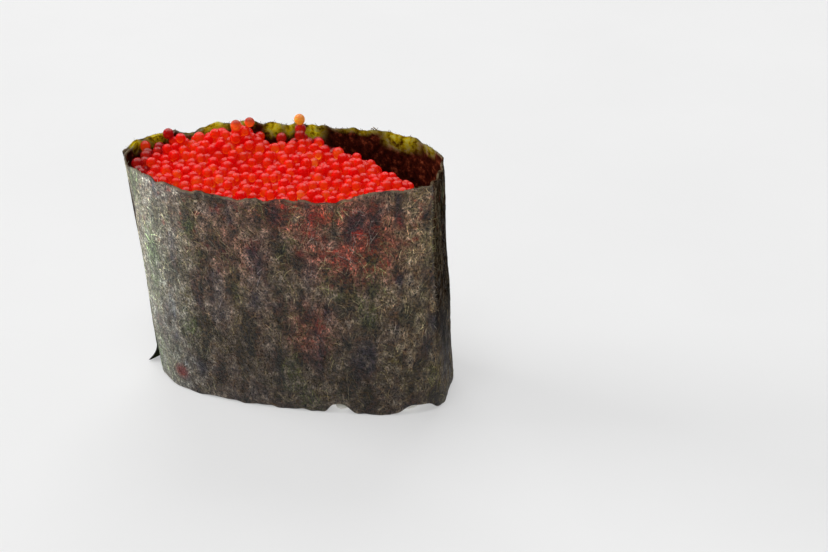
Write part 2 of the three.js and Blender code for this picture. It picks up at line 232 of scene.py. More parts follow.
# How much of its colour an egg reflects, how much it gives off, and how much more where brightest.
EGG_BASE = (0.45, 0.45, 0.45)
EGG_GLOW = 0.17
BRIGHT_GLOW = 0.4

# The floor's mottled greys, and how much light it gives off.
FLOOR = {"radius": 3, "greys": [(0.3, 0.44), (0.7, 0.46)], "glow": 0.40}
# The surround's strength on the right and on the left.
SURROUND = (0.0, 0.62)
# Soft lamps that aren't mirrored, and one that is only mirrored: (name, place, size, power).
LAMPS = [
    ("behind", (-300, 1700, 1700), (1500, 1500), 21),
    ("left", (-2400, 250, 700), (1400, 1400), 56),
    ("above", (-100, -700, 2400), (1200, 1200), 19),
]
WINDOW = ("window", (-300, 1000, 2100), (4500, 2800), 100)
WINDOW_COLOUR = (0.96, 0.94, 0.90)
LAMP_TARGET = (0, 0, 30)
DIFFUSE_BOUNCES = 12
MOST_BOUNCES = 16
CAMERA = {"place": (73.9, -305.2, 181.0), "target": (13.5, 37.1, 0), "lens": 95.65, "sensor": 36}


# ---- Numbers ----

def lerp(start, end, share):
    return start + (end - start) * share


def smoothstep(value, start, end):
    share = np.clip((value - start) / (end - start), 0, 1)
    return share * share * (3 - 2 * share)


def bump(distance, width):
    """A bell curve: 1 at no distance, near 0 beyond twice the width."""
    return np.exp(-((distance / width) ** 2))


def waves(listed, angles):
    return sum(size * np.sin(count * angles + start) for count, size, start in listed)


def turn_from(other, angles):
    """How far the angles are from `other`, from minus to plus half a turn."""
    return np.arctan2(np.sin(angles - other), np.cos(angles - other))


def bump_at(middle, width, angles):
    """A bell curve round the oval, with its middle and width in degrees."""
    return bump(turn_from(math.radians(middle), angles), math.radians(width))


def noise_at(points, height, size, seed):
    """Smooth noise from about -height to height at each point, in lumps of about `size`."""
    shift = Vector((17.3, 5.1, 9.7)) * seed
    listed = (points / size).reshape(-1, 3)
    values = np.array([noise.noise(Vector(point) + shift) for point in listed])
    return height * values.reshape(points.shape[:-1])


# ---- The band's wall ----

def oval_reach(oval, angles):
    """The distance from the middle of an oval to its outline, towards each angle."""
    corners = oval["corners"]
    front, left = np.sin(angles) < 0, np.cos(angles) < 0
    length = np.where(left, oval["left"], oval["right"])
    width = np.where(front, oval["front"], oval["back"])
    front_corner = np.where(left, corners["front_left"], corners["front_right"])
    back_corner = np.where(left, corners["back_left"], corners["back_right"])
    exponent = np.where(front, front_corner, back_corner)
    along = np.abs(np.cos(angles) / length) ** exponent
    across = np.abs(np.sin(angles) / width) ** exponent
    return (along + across) ** (-1 / exponent)


def wall_middle(heights):
    return lerp(FOOT["x"], RIM["x"], heights / BAND_HEIGHT)


def wall_points(angles, heights):
    """Points of the plain wall towards the angles, at the heights."""
    rise = heights / BAND_HEIGHT
    crease = lerp(CREASE["at_foot"], CREASE["at_rim"], rise) * np.exp(
        -np.abs(turn_from(CREASE["angle"], angles)) / CREASE["width"])
    reach = lerp(oval_reach(FOOT, angles), oval_reach(RIM, angles), rise) + crease
    x = wall_middle(heights) + reach * np.cos(angles)
    return np.stack([x, reach * np.sin(angles), heights + 0 * angles], axis=-1)


def wall_normals(angles, heights):
    """The level directions that point straight out of the wall."""
    step = math.radians(0.5)
    along = wall_points(angles + step, heights) - wall_points(angles - step, heights)
    normals = np.stack([along[..., 1], -along[..., 0], 0 * along[..., 0]], axis=-1)
    return normals / np.linalg.norm(normals, axis=-1, keepdims=True)


def even_angles(start, end, count):
    """Angles from start to end that are even steps along the wall."""
    fine = np.linspace(start, end, count * 8)
    points = wall_points(fine, np.full(len(fine), BAND_HEIGHT / 2))
    steps = np.linalg.norm(np.diff(points, axis=0), axis=1)
    lengths = np.concatenate([[0], np.cumsum(steps)])
    return np.interp(np.linspace(0, lengths[-1], count + 1), lengths, fine)


def winding_out(angles):
    """How far outside the plain wall the winding carries the sheet's outer face."""
    return WRAP_PITCH * (angles - WRAP_FLUSH) / TURN


def rim_heights(angles):
    """The band's upper edge: its step, its dip and its small teeth."""
    at_rim = wall_points(angles, np.full(angles.shape, float(BAND_HEIGHT)))
    x, y = at_rim[..., 0], at_rim[..., 1]
    step = RIM_STEP["rise"] * smoothstep(x, RIM_STEP["from_x"], RIM_STEP["to_x"])
    step *= 1 - smoothstep(y, RIM_STEP["front_y"], RIM_STEP["back_y"])
    dip = np.where(y < 0, RIM_DIP["depth"] * bump(x - RIM_DIP["x"], RIM_DIP["width"]), 0)
    tears = sum(higher * bump_at(middle, width, angles) for middle, width, higher in RIM_TEARS)
    teeth = sum(noise_at(at_rim, *tooth) for tooth in RIM_TEETH)
    return BAND_HEIGHT + step - dip + tears + waves(RIM_WAVES, angles) + teeth


def hem_heights(angles):
    """The band's lower edge, with its torn notches, which have steep sides."""
    notches = [height * bump(turn_from(math.radians(middle), angles) ** 2, math.radians(width) ** 2)
               for middle, width, height in HEM_NOTCHES]
    teeth = noise_at(wall_points(angles, np.zeros(angles.shape)), *HEM_TEETH)
    return HEM_HEIGHT + np.max(notches, axis=0) + waves(HEM_WAVES, angles) + teeth


def peel(angles, heights):
    """How far the free lower corner at the band's outer end stands off."""
    along = np.maximum(0, 1 - (WRAP_END - angles) / PEEL["angle"])
    upward = np.maximum(0, 1 - heights / PEEL["height"])
    return PEEL["out"] * along ** 2 * upward ** 2


def relief(points, below_rim):
    """How far the sheet's wrinkles stand out: broad sags, upright puckers, a crumpled rim."""
    upright = points * (1, 1, PUCKER_SQUEEZE)
    crumpled = np.exp(-below_rim / CRUMPLED_DEPTH)
    return (noise_at(points, *SAGS) + noise_at(upright, *PUCKERS)
            + crumpled * noise_at(points, *CRUMPLES) + noise_at(points, *PORES))


def band_points(angles, heights, face):
    """Points of the wound band, on its inner face (0) or its outer face (1)."""
    plain = wall_points(angles, heights)
    wrinkles = relief(plain, rim_heights(angles) - heights)
    out = winding_out(angles) + wrinkles + peel(angles, heights) - (1 - face) * SHEET
    return plain + wall_normals(angles, heights) * out[..., None]


def thinness(angles, below_rim):
    """How thin the sheet is at its back rim, where it lets light through."""
    places = [strength * bump_at(middle, width, angles) * np.exp(-((below_rim / depth) ** 3))
              for middle, width, depth, strength in THIN_PLACES]
    return np.max(places, axis=0)


# ---- Making meshes ----

def make_piece(name, points, faces, stored=None):
    """An object from points in millimetres, its faces, and numbers stored at its points."""
    mesh = bpy.data.meshes.new(name)
    mesh.from_pydata((np.asarray(points) * MM).tolist(), [], faces)
    mesh.polygons.foreach_set("use_smooth", [True] * len(mesh.polygons))
    for key, values in (stored or {}).items():
        values = np.asarray(values, np.float32)
        kind, field = ("FLOAT", "value") if values.ndim == 1 else ("FLOAT_VECTOR", "vector")
        mesh.attributes.new(key, kind, "POINT").data.foreach_set(field, values.ravel())
    piece = bpy.data.objects.new(name, mesh)
    scene.collection.objects.link(piece)
    return piece


def ring_faces(rings, sides):
    """The faces of a closed body: rings of points from start to end, then its two end points."""
    start, end = rings * sides, rings * sides + 1
    last = (rings - 1) * sides
    faces = []
    for side in range(sides):
        following = (side + 1) % sides
        faces.append([start, following, side])
        faces.append([end, last + side, last + following])
        for ring in range(rings - 1):
            a, b = ring * sides + side, ring * sides + following
            faces.append([a, b, b + sides, a + sides])
    return faces


def repeated(faces, count, step):
    """The faces of many bodies of one kind, each with `step` points."""
    return [[corner + body * step for corner in face] for body in range(count) for face in faces]


def set_in(piece, node, material):
    """Puts a finished piece in the frame: its body, the CAD node it stands for, its finish."""
    piece.data.materials.append(material)
    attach(piece, "root")
    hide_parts(node)


# ---- The seaweed band ----

def sheet_faces(columns, rows):
    """The faces of a closed thin sheet, whose two sides are grids of points."""
    faces = []

    def add(*corners):
        faces.append([(side * (columns + 1) + column) * (rows + 1) + row
                      for side, column, row in corners])

    for i in range(columns):
        for j in range(rows):
            add((1, i, j), (1, i + 1, j), (1, i + 1, j + 1), (1, i, j + 1))
            add((0, i, j), (0, i, j + 1), (0, i + 1, j + 1), (0, i + 1, j))
        add((0, i, 0), (0, i + 1, 0), (1, i + 1, 0), (1, i, 0))
        add((1, i, rows), (1, i + 1, rows), (0, i + 1, rows), (0, i, rows))
    for j in range(rows):
        add((0, 0, j), (1, 0, j), (1, 0, j + 1), (0, 0, j + 1))
        add((1, columns, j), (0, columns, j), (0, columns, j + 1), (1, columns, j + 1))
    return faces


def make_band():
    angles = even_angles(WRAP_START, WRAP_END, BAND_COLUMNS)
    rises = np.linspace(0, 1, BAND_ROWS + 1)
    hem, rim = hem_heights(angles), rim_heights(angles)
    heights = lerp(hem[:, None], rim[:, None], rises[None, :])
    angle_grid = np.repeat(angles[:, None], BAND_ROWS + 1, axis=1)
    below_rim = rim[:, None] - heights
    sides = [band_points(angle_grid, heights, face) for face in (0, 1)]
    points = np.concatenate([side.reshape(-1, 3) for side in sides])
    thin = np.tile(thinness(angle_grid, below_rim).ravel(), 2)
    arc = np.repeat(np.arange(BAND_COLUMNS + 1) * BAND_LENGTH / BAND_COLUMNS, BAND_ROWS + 1)
    place = np.stack([np.tile(arc, 2), np.tile(heights.ravel(), 2),
                      np.repeat([INNER_PATTERN, 0.0], arc.size)], axis=-1)
    outer = np.repeat([0.0, 1.0], arc.size)
    return make_piece("nori_band", points, sheet_faces(BAND_COLUMNS, BAND_ROWS), {
        "thin": thin, "sheet_place": place, "outer": outer,
        "below_rim": np.tile(below_rim.ravel(), 2)})


def band_length():
    """The length of the band's strip, along the middle of its height."""
    angles = np.linspace(WRAP_START, WRAP_END, 2000)
    points = wall_points(angles, np.full(len(angles), BAND_HEIGHT / 2))
    return float(np.linalg.norm(np.diff(points, axis=0), axis=1).sum())


BAND_LENGTH = band_length()


# ---- Fibres of the felt ----

def strand_piece(name, paths, ups, widths, heights, tones):
    """Thin strands, each a closed three-sided blade that narrows to a point at both ends."""
    count, steps = paths.shape[:2]
    sides = np.cross(np.gradient(paths, axis=1), ups)
    sides /= np.linalg.norm(sides, axis=-1, keepdims=True) + 1e-9
    inner, half = paths[:, 1:-1], sides[:, 1:-1] * widths[:, None, None] / 2
    ridge = inner + ups[:, 1:-1] * heights[:, None, None]
    rings = np.stack([inner - half, inner + half, ridge], axis=2).reshape(count, -1, 3)
    points = np.concatenate([rings, paths[:, :1], paths[:, -1:]], axis=1)
    per_strand = points.shape[1]
    faces = repeated(ring_faces(steps - 2, 3), count, per_strand)
    return make_piece(name, points.reshape(-1, 3), faces, {"tone": np.repeat(tones, per_strand)})


def strand_lines(random):
    """The strands' paths over the sheet, most near upright: lengths along it, and heights."""
    count = STRANDS["count"]
    lengths = random.uniform(*STRANDS["length"], count)
    lean = np.where(random.random(count) < STRANDS["near_upright"],
                    random.normal(0, STRANDS["lean"], count),
                    random.uniform(-math.pi / 2, math.pi / 2, count))
    curl = random.normal(0, STRANDS["curl"], count)
    start_arc = random.uniform(0, BAND_LENGTH, count)
    start_height = random.uniform(0, BAND_HEIGHT + 1, count)
    steps = np.arange(STRAND_POINTS) / (STRAND_POINTS - 1)
    headings = lean[:, None] + curl[:, None] * steps[None] * 2
    stride = lengths[:, None] / (STRAND_POINTS - 1)
    return (start_arc[:, None] + np.cumsum(np.sin(headings) * stride, axis=1),
            start_height[:, None] + np.cumsum(np.cos(headings) * stride, axis=1))


def make_strands():
    """Fibres that lie on the band's outer face, clear of its edges."""
    random = np.random.default_rng(STRAND_SEED)
    arc, height = strand_lines(random)
    table = even_angles(WRAP_START, WRAP_END, BAND_COLUMNS)
    angles = np.interp(arc / BAND_LENGTH * BAND_COLUMNS, np.arange(BAND_COLUMNS + 1), table)
    low = hem_heights(angles) + STRANDS["from_hem"]
    high = rim_heights(angles) - STRANDS["from_rim"]
    first, last = STRANDS["from_ends"], BAND_LENGTH - STRANDS["from_ends"]
    keep = np.all((height > low) & (height < high) & (arc > first) & (arc < last), axis=1)
    angles, height = angles[keep], height[keep]
    ups = wall_normals(angles, height)
    paths = band_points(angles, height, 1) - ups * STRANDS["sunk"]
    count = len(paths)
    widths = random.uniform(*STRANDS["width"], count)
    lifts = random.uniform(*STRANDS["lift"], count)
    return strand_piece("nori_fibres", paths, ups, widths, lifts, random.random(count))


def hair_paths(random, roots, growth, lengths):
    """Bent paths that grow from the roots, each roughly in its growth direction."""
    heading = growth / np.linalg.norm(growth, axis=1, keepdims=True)
    bend = random.normal(0, HAIR_BEND, growth.shape)
    steps = np.linspace(0, 1, STRAND_POINTS)[None, :, None]
    return roots[:, None] + lengths[:, None, None] * (
        steps * heading[:, None] + steps ** 2 * bend[:, None])


def make_rim_hairs():
    """Fine torn fibres that stand up from the rim, and a few wider slivers."""
    random = np.random.default_rng(HAIR_SEED)
    hairs = RIM_HAIRS["count"]
    angles = np.concatenate([random.uniform(WRAP_END - TURN, WRAP_END, hairs), SLIVERS["angles"]])
    count = len(angles)
    sliver = np.arange(count) >= hairs
    heights = rim_heights(angles) - RIM_HAIRS["sunk"]
    roots = band_points(angles, heights, random.uniform(0, 1, count))
    outward = wall_normals(angles, roots[:, 2])
    along = np.cross(UP, outward)
    growth = (UP + outward * random.normal(0, RIM_HAIRS["lean_out"], (count, 1))
              + along * random.normal(0, RIM_HAIRS["lean_along"], (count, 1)))
    lengths = np.where(sliver, SLIVERS["length"], random.uniform(*RIM_HAIRS["length"], count))
    paths = hair_paths(random, roots, growth, lengths)
    ups = np.repeat(outward[:, None], STRAND_POINTS, axis=1)
    widths = np.where(sliver, SLIVERS["width"], random.uniform(*RIM_HAIRS["width"], count))
    return strand_piece("nori_rim_hairs", paths, ups, widths, widths * HAIR_LIFT,
                        random.uniform(*RIM_HAIRS["tones"], count))


def make_crease_hairs():
    """Fine fibres that stand out along the crease."""
    random = np.random.default_rng(HAIR_SEED + 1)
    count = CREASE_HAIRS["count"]
    angles = CREASE["angle"] + random.normal(0, CREASE_HAIRS["off_crease"], count)
    heights = random.uniform(*CREASE_HAIRS["heights"], count)
    roots = band_points(angles, heights, 1)
    outward = np.array([math.cos(CREASE["angle"]), math.sin(CREASE["angle"]), 0])
    growth = outward + random.normal(0, 1, (count, 3)) * CREASE_HAIRS["spread"]
    paths = hair_paths(random, roots, growth, random.uniform(*CREASE_HAIRS["length"], count))
    ups = np.repeat(wall_normals(angles, heights)[:, None], STRAND_POINTS, axis=1)
    widths = random.uniform(*CREASE_HAIRS["width"], count)
    return strand_piece("nori_crease_hairs", paths, ups, widths, widths * HAIR_LIFT,
                        random.uniform(*CREASE_HAIRS["tones"], count))


# ---- The eggs ----

def heap_heights(x, y):
    """The height of the heap's top over points of the floor. Mounds have steep ends."""
    mounds = 0
    for mound_x, mound_y, left, right, depth, height in HEAP_MOUNDS:
        along = bump((x - mound_x) ** 2, np.where(x < mound_x, left, right) ** 2)
        mounds = mounds + height * along * bump(y - mound_y, depth)
    into = ((x - HOLLOW["x"]) * math.cos(HOLLOW["angle"])
            + (y - HOLLOW["y"]) * math.sin(HOLLOW["angle"]))
    return HEAP_LEVEL + mounds - HOLLOW["fall"] * smoothstep(into, 0, HOLLOW["run"])


def filling_out(angles):
    """How far outside the plain wall (below 0: inside) the filling may reach."""
    past_lead = (angles - WRAP_START + FILLING_LEAD) % TURN
    past_start = np.maximum(0, past_lead - FILLING_LEAD)
    return winding_out(WRAP_START + past_start) - SHEET - RIPPLE - GAP


def room_at(x, y, z):
    """How far points are inside the filling's outline."""
    angles = np.arctan2(y, x - wall_middle(z))
    to_wall = wall_points(angles, z) - np.stack([x, y, z], axis=-1)
    return (to_wall * wall_normals(angles, z)).sum(axis=-1) + filling_out(angles)


def tabled(function):
    """A quick stand-in for a function of x and y: its value at the nearest point of a grid."""
    reach, step = np.array([29.0, 17.0]), 0.1
    columns, rows = (np.arange(-limit, limit, step) for limit in reach)
    table = function(*np.meshgrid(columns, rows, indexing="ij"))

    def look_up(xy):
        cells = np.clip((xy + reach) / step, 0, np.array(table.shape) - 1).astype(int)
        return table[cells[:, 0], cells[:, 1]]

    return look_up


class Heap:
    """Eggs that are dropped one by one, each rolling down to a place where it rests."""

    CELL = 2.5
    FIRST_STEP, LAST_STEP, MOST_MOVES = 0.5, 0.04, 60
    STAND_OUT = 0.35
    WALL_PUSH, WALL_SLACK = 10, 0.05
    COMPASS = np.array([[0, 0]] + [[math.cos(TURN * k / 8), math.sin(TURN * k / 8)]
                                   for k in range(8)])

    def __init__(self):
        self.cells = {}
        self.eggs = []
        self.tops = tabled(heap_heights)
        self.room = tabled(lambda x, y: room_at(x, y, np.full(x.shape, HEAP_LEVEL - 1.0)))

    def add(self, x, y, z, radius):
        egg = (x, y, z, radius)
        self.eggs.append(egg)
        self.cells.setdefault((int(x // self.CELL), int(y // self.CELL)), []).append(egg)

    def near(self, x, y):
        i, j = int(x // self.CELL), int(y // self.CELL)
        found = [egg for a in (i - 1, i, i + 1) for b in (j - 1, j, j + 1)
                 for egg in self.cells.get((a, b), ())]
        return np.array(found).reshape(-1, 4)

    def rest_heights(self, xy, radius, near):
        """The height at which an egg's centre comes to rest over each of some points."""
        floor = self.tops(xy) - EGG_LAYER + radius
        if not len(near):
            return floor
        apart = ((xy[:, None] - near[None, :, :2]) ** 2).sum(axis=-1)
        touch = (radius + near[:, 3]) ** 2
        tops = near[:, 2] + np.sqrt(np.maximum(0, touch - apart))
        return np.maximum(floor, np.where(apart < touch, tops, -1e9).max(axis=1))

    def drop(self, x, y, radius):
        """Rolls an egg from over (x, y) to rest and keeps it if it isn't above the heap's top."""
        step = self.FIRST_STEP
        place = np.array([x, y])
        for _ in range(self.MOST_MOVES):
            if step < self.LAST_STEP:
                break
            around = place + step * self.COMPASS
            z = self.rest_heights(around, radius, self.near(*place))
            z += self.WALL_PUSH * np.maximum(0, radius - self.room(around))
            lowest = int(np.argmin(z))
            if lowest == 0:
                step /= 2
            else:
                place = around[lowest]
        here = place[None]
        z = float(self.rest_heights(here, radius, self.near(*place))[0])
        inside = self.room(here)[0] > radius - self.WALL_SLACK
        if inside and z + radius < self.tops(here)[0] + self.STAND_OUT:
            self.add(place[0], place[1], z, radius)

    def perch(self, x, y, radius):
        """Sets an egg on top of what is under (x, y)."""
        z = self.rest_heights(np.array([[x, y]]), radius, self.near(x, y))[0]
        self.add(x, y, z, radius)


def fill_heap():
    """The places and radii of all eggs, the perched ones last."""
    random = np.random.default_rng(EGG_SEED)
    heap = Heap()
    for _ in range(EGG_TRIES):
        x = random.uniform(RIM["x"] - RIM["left"], RIM["x"] + RIM["right"])
        y = random.uniform(-RIM["front"], RIM["back"])
        radius = random.uniform(*EGG_RADII)
        if heap.room(np.array([[x, y]]))[0] > radius:
            heap.drop(x, y, radius)
    for x, y, radius, _ in PERCHED:
        heap.perch(x, y, radius)
    return np.array(heap.eggs)


def egg_shape():
    """An egg's points and faces, at radius 1."""
    shape = bmesh.new()
    bmesh.ops.create_icosphere(shape, subdivisions=3, radius=1)
    shape.verts.ensure_lookup_table()
    points = np.array([vert.co[:] for vert in shape.verts])
    faces = [[vert.index for vert in face.verts] for face in shape.faces]
    shape.free()
    return points, faces


def egg_piece(name, eggs, random):
    """One piece of many eggs, each slightly out of round.

    Each point stores its direction from the egg's middle and how brightly the egg is lit.
    """
    shape, faces = egg_shape()
    all_points, ways = [], []
    for x, y, z, radius in eggs:
        stretch = 1 + random.normal(0, EGG_OUT_OF_ROUND, 3)
        all_points.append(shape * stretch * radius * EGG_SQUEEZE + (x, y, z))
        ways.append(shape + random.normal(0, EGG_SHIFT, 3))
    glows = np.repeat(random.random(len(eggs)), len(shape))
    return make_piece(name, np.concatenate(all_points), repeated(faces, len(eggs), len(shape)),
                      {"way": np.concatenate(ways), "glow": glows})


# ---- Materials ----

class Material:
    """A material, with short ways to add nodes to it. Colours are given as three numbers."""

    def __init__(self, name):
        self.material = bpy.data.materials.new(name)
        self.material.use_nodes = True
        self.tree = self.material.node_tree
        self.tree.nodes.clear()

    def add(self, kind, inputs=None, **settings):
        node = self.tree.nodes.new(kind)
        for key, value in settings.items():
            setattr(node, key, value)
        for key, value in (inputs or {}).items():
            socket = node.inputs[key]
            if isinstance(value, bpy.types.NodeSocket):
                self.tree.links.new(value, socket)
            else:
                socket.default_value = (*value, 1) if socket.type == "RGBA" else value
        return node

    def stored(self, key, output="Fac"):
        """Numbers that are stored at the mesh's points."""
        return self.add("ShaderNodeAttribute", attribute_name=key).outputs[output]

    def place(self):
        """The place on the object, in metres."""
        return self.add("ShaderNodeTexCoord").outputs["Object"]

    def noise(self, place, size, detail=2, roughness=0.5, distortion=0):
        """Noise from 0 to 1 in lumps of about `size`, in the units of `place`."""
        return self.add("ShaderNodeTexNoise", {
            "Vector": place, "Scale": 1 / size, "Detail": detail, "Roughness": roughness,
            "Distortion": distortion}).outputs["Fac"]

    def ramp(self, value, stops):
        """A colour for a value, from a list of (value, colour)."""
        node = self.add("ShaderNodeValToRGB", {"Fac": value})
        ramp = node.color_ramp
        while len(ramp.elements) < len(stops):
            ramp.elements.new(0.5)
        for element, (position, colour) in zip(ramp.elements, stops):
            element.position = position
            element.color = (*colour, 1)
        return node.outputs["Color"]

    def greys(self, value, stops):
        """A grey for a value, from a list of (value, grey)."""
        return self.ramp(value, [(position, (grey,) * 3) for position, grey in stops])

    def mask(self, value, start, end):
        """From 0 where the value is at start to 1 where it is at end, and no further."""
        return self.add("ShaderNodeMapRange", {
            "Value": value, "From Min": start, "From Max": end},
            interpolation_type="SMOOTHSTEP").outputs["Result"]

    def mix(self, share, first, second, blend="MIX"):
        return self.add("ShaderNodeMixRGB", {
            "Fac": share, "Color1": first, "Color2": second},
            blend_type=blend).outputs["Color"]

    def tint(self, colour, tint):
        return self.mix(1, colour, tint, "MULTIPLY")

    def maths(self, operation, first, second):
        return self.add("ShaderNodeMath", {0: first, 1: second}, operation=operation).outputs[0]

    def times(self, first, second):
        return self.maths("MULTIPLY", first, second)

    def toward(self, way, target):
        """How far a direction points towards a target: 1 for the same, -1 for opposite."""
        return self.add("ShaderNodeVectorMath", {0: way, 1: target},
                        operation="DOT_PRODUCT").outputs["Value"]

    def seen_from(self, place, scale, middle=(0, 0, 0), turn=0):
        """A place as measured from a middle, turned, in units of `scale` along each axis."""
        return self.add("ShaderNodeMapping", {
            "Vector": place, "Location": middle, "Rotation": (0, 0, turn), "Scale": scale},
            vector_type="TEXTURE").outputs["Vector"]

    def bumps(self, height, distance):
        return self.add("ShaderNodeBump", {
            "Height": height, "Distance": distance, "Strength": 1}).outputs["Normal"]

    def surface(self, inputs):
        return self.add("ShaderNodeBsdfPrincipled", inputs).outputs["BSDF"]

    def finish(self, shader):
        output = self.add("ShaderNodeOutputMaterial")
        self.tree.links.new(shader, output.inputs["Surface"])
        return self.material


def fibre_lines(m, place):
    """Thin lines over the sheet: 0 between them, 1 on them."""
    lines = 0
    for turn, size, stretch in FIBRE_LAYERS:
        turned = m.seen_from(place, (size, size * stretch, size), turn=turn)
        field = m.noise(turned, 1, 1.5, 0.5, FIBRE_WARP)
        ridge = m.maths("ABSOLUTE", m.maths("SUBTRACT", field, 0.5), 0)
        lines = m.maths("MAXIMUM", lines, m.mask(ridge, FIBRE_WIDTH, 0.0))
    return lines


def patch_noise(m, body):
    """Noise for the felt's patches of colour, which are taller than wide."""
    return m.noise(m.seen_from(body, UPRIGHT), 0.0046, 3, 0.55)


def matted(m, body):
    """1 where the felt is matted with fibres, 0 on patches of smooth film."""
    return m.mask(m.noise(m.seen_from(body, UPRIGHT), 0.0026, 2), 0.62, 0.46)


def felt_colour(m, place, body):
    """The outer face: patches of green, brown and purple-grey film, matted with pale fibres."""
    patches = m.ramp(patch_noise(m, body), [
        (0.36, (0.038, 0.028, 0.040)), (0.44, (0.074, 0.034, 0.019)),
        (0.50, (0.048, 0.037, 0.022)), (0.56, (0.072, 0.042, 0.022)),
        (0.64, (0.052, 0.060, 0.020))])
    grains = m.ramp(m.noise(body, 0.0006, 3, 0.7), [
        (0.38, (0.06, 0.05, 0.05)), (0.5, (0.8, 0.8, 0.8)), (0.64, (2.4, 2.2, 2.0))])
    base = m.tint(patches, grains)
    light = m.ramp(m.noise(body, 0.0013, 2), [
        (0.32, (0.12, 0.077, 0.050)), (0.5, (0.32, 0.222, 0.150)),
        (0.68, (0.72, 0.56, 0.42))])
    lines = fibre_lines(m, place)
    share = m.times(lines, m.times(matted(m, body), 0.85))
    return m.mix(share, base, light), lines


def speckled(m, body, colour):
    """The colour with fine light and dark specks."""
    specks = m.greys(m.noise(body, 0.00035, 2, 0.6), [(0.36, 0.45), (0.64, 1.7)])
    return m.tint(colour, specks)


def within(m, body, region):
    """1 inside all the limits of a region, 0 outside any of them."""
    split = m.add("ShaderNodeSeparateXYZ", {"Vector": body}).outputs
    inside = 1
    for axis, start, full in region:
        inside = m.times(inside, m.mask(split[axis], start, full))
    return inside


def painted_light_and_spot(m, body, felt):
    """The felt with painted light and shade, paler in some places and darker in others, a painted
    sheen near the left end, and the red spot.
    """
    for region, tint in TINTS:
        felt = m.mix(within(m, body, region), felt, m.tint(felt, tint))
    # Painted sheen near the left end.
    sheen_share = m.times(within(m, body, SHEEN_SIDE), PAINTED_SHEEN_SHARE)
    sheened = m.mix(sheen_share, felt, PAINTED_SHEEN)
    return m.mix(stain_at(m, body, *RED_SPOT), sheened, RED_SPOT_COLOUR)


def stain_at(m, body, middle, reach, strength):
    """How strong a stain is at each place: its strength in the middle, 0 beyond its reach."""
    offset = m.seen_from(body, reach, middle)
    distance = m.add("ShaderNodeVectorMath", {0: offset}, operation="LENGTH").outputs["Value"]
    return m.times(m.mask(distance, 1.0, 0.2), strength)


def stained(m, body, felt):
    """The felt with the eggs' red showing through in damp places."""
    near = 0
    for stain in STAINS:
        near = m.maths("MAXIMUM", near, stain_at(m, body, *stain))
    tinted = m.tint(felt, (1.75, 0.54, 0.40))
    share = m.times(near, m.mask(m.noise(body, 0.003, 2), 0.25, 0.5))
    felt = m.mix(share, felt, tinted)
    red = m.ramp(m.noise(body, 0.0009, 2), [
        (0.35, (0.13, 0.015, 0.010)), (0.65, (0.60, 0.045, 0.020))])
    spots = m.mask(m.noise(body, 0.0021, 3), 0.55, 0.68)
    upper = m.times(m.mask(m.stored("below_rim"), 16, 2), 0.35)
    shows = m.times(spots, m.maths("MAXIMUM", upper, near))
    return m.mix(shows, felt, red)


def inner_colour(m, body):
    """The inner face: green-black below, wet and reddened where the eggs lie against it."""
    reddened = m.ramp(m.noise(body, 0.0011, 4, 0.7), [
        (0.35, (0.021, 0.004, 0.002)), (0.55, (0.085, 0.016, 0.008)),
        (0.70, (0.42, 0.11, 0.045))])
    return m.mix(within(m, body, ROE_SHOWS), (0.03, 0.035, 0.018), reddened)


def with_pale_edge(m, body, colour):
    """The colour with a pale line along the torn rim, a painted highlight where the sheet's cut
    edge catches the light.
    """
    edge = m.times(m.mask(m.stored("below_rim"), 0.4, 0.05),
                   m.mask(m.noise(body, 0.0016, 2), 0.35, 0.6))
    return m.mix(m.times(edge, 0.8), colour, (0.40, 0.30, 0.17))


def thin_places(m, body, outer):
    """How thin the sheet is at each place, by half as much on its outer face."""
    shown = m.maths("SUBTRACT", 1, m.times(outer, 0.5))
    broken = m.mask(m.noise(body, 0.0017, 2), 0.25, 0.5)
    return m.times(m.times(m.stored("thin"), shown), broken)


def nori_material():
    """The seaweed: felt outside, reddened inside, and letting light through where it is thin."""
    m = Material("nori")
    body, outer = m.place(), m.stored("outer")
    felt, lines = felt_colour(m, m.stored("sheet_place", "Vector"), body)
    felt = speckled(m, body, painted_light_and_spot(m, body, stained(m, body, felt)))
    colour = with_pale_edge(m, body, m.mix(outer, inner_colour(m, body), felt))
    glow = m.ramp(m.noise(body, 0.0011, 3, 0.65), [
        (0.36, (0.31, 0.19, 0.012)), (0.48, (0.98, 0.82, 0.05)),
        (0.62, (1.0, 0.97, 0.42))])
    thin = thin_places(m, body, outer)
    # Painted backlight: where the sheet is thin, its own colour takes the glow's colour as well.
    colour = m.mix(m.mask(thin, 0.05, 0.6), colour, glow)
    relief = m.maths("ADD", m.times(lines, 0.6), m.noise(body, 0.0005, 4, 0.7))
    normal = m.bumps(relief, 0.0003)
    # Painted shade: the end wall past the crease gets no sheen and no gloss.
    fuzzy = m.times(outer, m.maths("SUBTRACT", 1, within(m, body, SHADED_END)))
    surface = m.surface({
        "Base Color": colour, "Roughness": 0.6, "Normal": normal, "Sheen Roughness": 0.4,
        "Sheen Weight": m.times(fuzzy, 0.15),
        "Specular IOR Level": m.times(fuzzy, 0.4)})
    through = m.add("ShaderNodeBsdfTranslucent", {"Color": glow, "Normal": normal}).outputs[0]
    share = m.times(m.mask(thin, 0.02, 0.6), 0.9)
    mixed = m.add("ShaderNodeMixShader", {"Fac": share, 1: surface, 2: through}).outputs[0]
    return m.finish(mixed)


